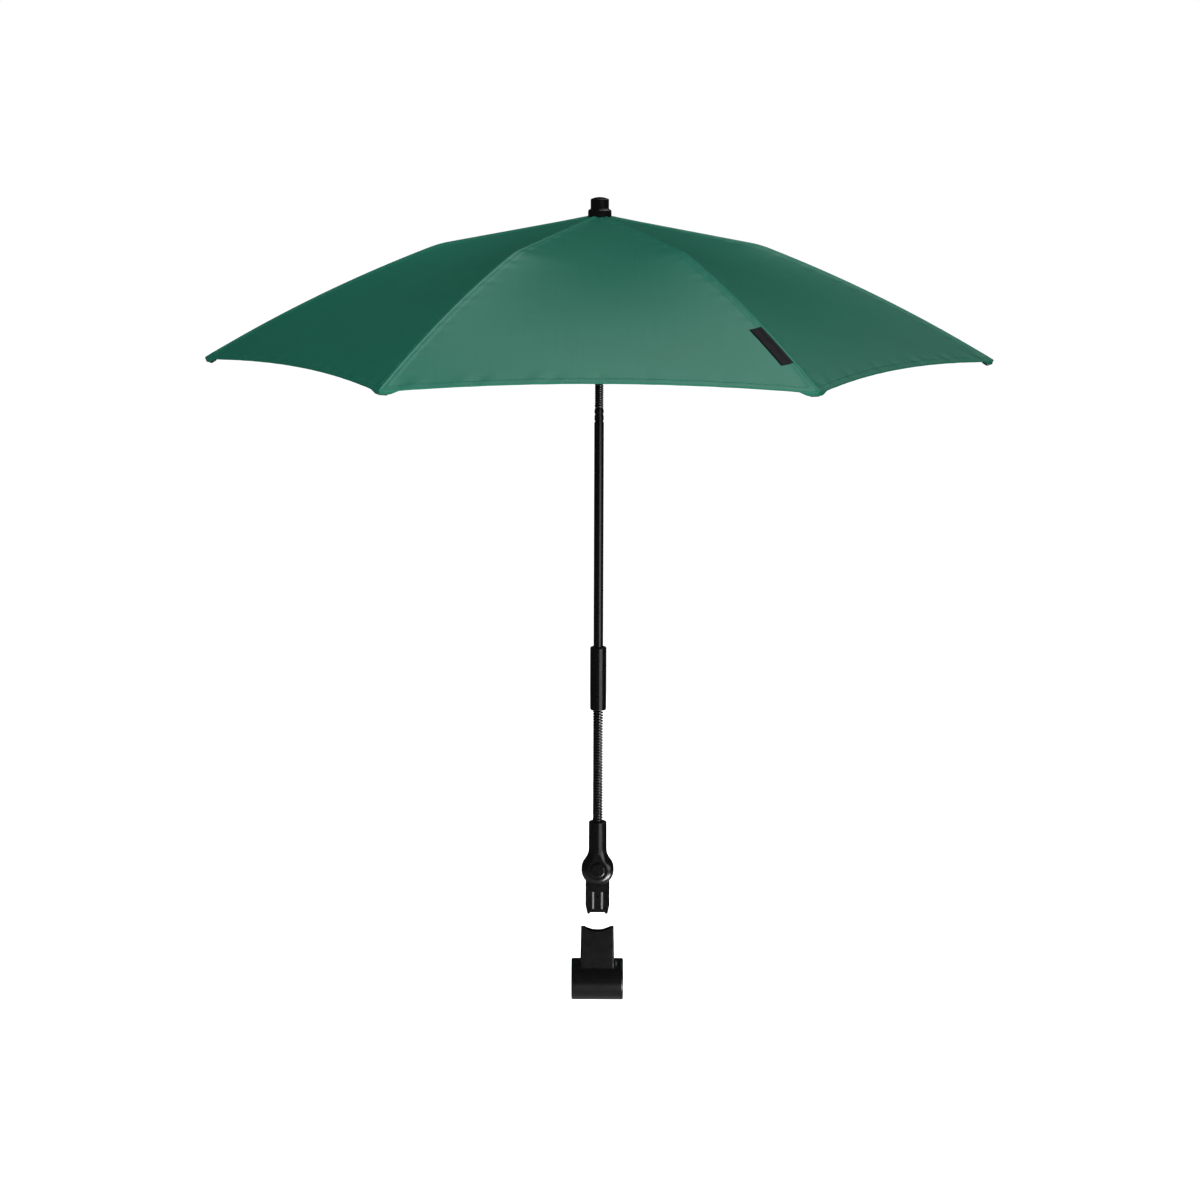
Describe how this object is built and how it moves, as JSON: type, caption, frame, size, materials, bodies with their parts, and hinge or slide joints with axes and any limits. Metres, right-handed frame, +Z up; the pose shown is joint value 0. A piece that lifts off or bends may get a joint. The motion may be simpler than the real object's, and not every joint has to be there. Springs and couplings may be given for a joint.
{
  "type": "pram parasol",
  "caption": "Folding clip-on parasol with a scalloped fabric canopy on hinged ribs, a runner, a tilting pole, a gooseneck, a lockable swivel and a clip for a round tube.",
  "frame": {"origin": "middle of the clip's bore, on the axis of the tube that it grips", "axes": "+X along the gripped tube, +Y to the side where the clip opens, +Z up the pole"},
  "size_m": [0.715, 0.6192, 0.7496],
  "materials": {
    "green_fabric": "plain weave",
    "black_label": "woven",
    "black_plastic": "satin moulded",
    "black_metal": "satin black coating",
    "black_rubber": "matt",
    "steel": "plain"
  },
  "bodies": {
    "clip": {"clip_body": "black_plastic", "clip_liner": "black_rubber"},
    "plug": {"plug_body": "black_plastic", "pivot_pin": "steel", "lock_spring": "steel"},
    "button": {"lock_button": "black_plastic", "lock_gear": "black_plastic"},
    "head": {"swivel_head": "black_plastic", "neck_screw": "steel", "gooseneck_end_lower": "steel", "gooseneck_core": "steel", "gooseneck_coil": "black_metal"},
    "pole": {"grip_sleeve": "black_metal", "sleeve_screws": "steel", "gooseneck_end_upper": "steel", "lower_shaft": "black_metal", "tilt_ferrule_lower": "black_metal", "tilt_spring": "black_metal"},
    "mast": {"tilt_ferrule_upper": "black_metal", "upper_shaft": "black_metal", "catch_pin": "steel", "crown": "black_plastic", "crown_wire": "steel", "top_cap": "black_plastic"},
    "catch": {"runner_catch": "steel"},
    "runner": {"runner": "black_plastic", "runner_wire": "steel"},
    "rib_1": {"rib_1": "black_metal", "rib_rivet_1": "steel", "rib_tip_1": "black_plastic", "canopy_1": "green_fabric"},
    "stretcher_1": {"stretcher_1": "black_metal"},
    "rib_2": {"rib_2": "black_metal", "rib_rivet_2": "steel", "rib_tip_2": "black_plastic", "canopy_2": "green_fabric"},
    "stretcher_2": {"stretcher_2": "black_metal"},
    "rib_3": {"rib_3": "black_metal", "rib_rivet_3": "steel", "rib_tip_3": "black_plastic", "canopy_3": "green_fabric"},
    "stretcher_3": {"stretcher_3": "black_metal"},
    "rib_4": {"rib_4": "black_metal", "rib_rivet_4": "steel", "rib_tip_4": "black_plastic", "canopy_4": "green_fabric"},
    "stretcher_4": {"stretcher_4": "black_metal"},
    "rib_5": {"rib_5": "black_metal", "rib_rivet_5": "steel", "rib_tip_5": "black_plastic", "canopy_5": "green_fabric"},
    "stretcher_5": {"stretcher_5": "black_metal"},
    "rib_6": {"rib_6": "black_metal", "rib_rivet_6": "steel", "rib_tip_6": "black_plastic", "canopy_6": "green_fabric", "canopy_label": "black_label"},
    "stretcher_6": {"stretcher_6": "black_metal"}
  },
  "joints": [
    {"name": "dock_slide", "type": "slide", "parent": "clip", "child": "plug", "axis": [0, 0, 1], "range_m": [-0.0435, 0]},
    {"name": "swivel", "type": "hinge", "parent": "plug", "child": "head", "pos_m": [0, -0.009, 0.1083], "axis": [0, 1, 0], "range_deg": [-90, 90]},
    {"name": "lock_press", "type": "slide", "parent": "plug", "child": "button", "axis": [0, 1, 0], "range_m": [0, 0.002], "stiffness_N_per_m": 900, "deforming": ["lock_spring"]},
    {"name": "gooseneck_bend", "type": "hinge", "parent": "head", "child": "pole", "pos_m": [0, -0.009, 0.2065], "axis": [1, 0, 0], "range_deg": [-60, 60], "deforming": ["gooseneck_coil", "gooseneck_core"]},
    {"name": "tilt", "type": "hinge", "parent": "pole", "child": "mast", "pos_m": [0, -0.009, 0.5552], "axis": [0, 1, 0], "range_deg": [0, 45], "deforming": ["tilt_spring"]},
    {"name": "catch_press", "type": "hinge", "parent": "mast", "child": "catch", "pos_m": [0, -0.0114, 0.5925], "axis": [-1, 0, 0], "range_deg": [0, 10], "stiffness_Nm_per_rad": 0.4},
    {"name": "canopy_fold", "type": "hinge", "parent": "mast", "child": "rib_1", "pos_m": [0.01, -0.009, 0.7096], "axis": [0, -1, 0], "range_deg": [-68, 0], "deforming": ["canopy_1", "canopy_2", "canopy_3", "canopy_4", "canopy_5", "canopy_6", "canopy_label", "runner_catch"]},
    {"name": "stretcher_fold_1", "type": "hinge", "parent": "rib_1", "child": "stretcher_1", "pos_m": [0.13485, -0.009, 0.68087], "axis": [0, -1, 0], "range_deg": [0, 127.6]},
    {"name": "rib_fold_2", "type": "hinge", "parent": "mast", "child": "rib_2", "pos_m": [0.005, -0.00034, 0.7096], "axis": [0.866, -0.5, 0], "range_deg": [-68, 0]},
    {"name": "stretcher_fold_2", "type": "hinge", "parent": "rib_2", "child": "stretcher_2", "pos_m": [0.06743, 0.10779, 0.68087], "axis": [0.866, -0.5, 0], "range_deg": [0, 127.6]},
    {"name": "rib_fold_3", "type": "hinge", "parent": "mast", "child": "rib_3", "pos_m": [-0.005, -0.00034, 0.7096], "axis": [0.866, 0.5, 0], "range_deg": [-68, 0]},
    {"name": "stretcher_fold_3", "type": "hinge", "parent": "rib_3", "child": "stretcher_3", "pos_m": [-0.06743, 0.10779, 0.68087], "axis": [0.866, 0.5, 0], "range_deg": [0, 127.6]},
    {"name": "rib_fold_4", "type": "hinge", "parent": "mast", "child": "rib_4", "pos_m": [-0.01, -0.009, 0.7096], "axis": [0, 1, 0], "range_deg": [-68, 0]},
    {"name": "stretcher_fold_4", "type": "hinge", "parent": "rib_4", "child": "stretcher_4", "pos_m": [-0.13485, -0.009, 0.68087], "axis": [0, 1, 0], "range_deg": [0, 127.6]},
    {"name": "rib_fold_5", "type": "hinge", "parent": "mast", "child": "rib_5", "pos_m": [-0.005, -0.01766, 0.7096], "axis": [-0.866, 0.5, 0], "range_deg": [-68, 0]},
    {"name": "stretcher_fold_5", "type": "hinge", "parent": "rib_5", "child": "stretcher_5", "pos_m": [-0.06743, -0.12579, 0.68087], "axis": [-0.866, 0.5, 0], "range_deg": [0, 127.6]},
    {"name": "rib_fold_6", "type": "hinge", "parent": "mast", "child": "rib_6", "pos_m": [0.005, -0.01766, 0.7096], "axis": [-0.866, -0.5, 0], "range_deg": [-68, 0]},
    {"name": "stretcher_fold_6", "type": "hinge", "parent": "rib_6", "child": "stretcher_6", "pos_m": [0.06743, -0.12579, 0.68087], "axis": [-0.866, -0.5, 0], "range_deg": [0, 127.6]},
    {"name": "runner_slide", "type": "slide", "parent": "mast", "child": "runner", "axis": [0, 0, 1], "range_m": [-0.17851, 0]}
  ],
  "couplings": [
    {"joint": "stretcher_fold_1", "follows": "canopy_fold", "ratio": -1.8753},
    {"joint": "rib_fold_2", "follows": "canopy_fold", "ratio": 1},
    {"joint": "stretcher_fold_2", "follows": "canopy_fold", "ratio": -1.8753},
    {"joint": "rib_fold_3", "follows": "canopy_fold", "ratio": 1},
    {"joint": "stretcher_fold_3", "follows": "canopy_fold", "ratio": -1.8753},
    {"joint": "rib_fold_4", "follows": "canopy_fold", "ratio": 1},
    {"joint": "stretcher_fold_4", "follows": "canopy_fold", "ratio": -1.8753},
    {"joint": "rib_fold_5", "follows": "canopy_fold", "ratio": 1},
    {"joint": "stretcher_fold_5", "follows": "canopy_fold", "ratio": -1.8753},
    {"joint": "rib_fold_6", "follows": "canopy_fold", "ratio": 1},
    {"joint": "stretcher_fold_6", "follows": "canopy_fold", "ratio": -1.8753},
    {"joint": "runner_slide", "follows": "canopy_fold", "m_per_rad": 0.15032}
  ]
}
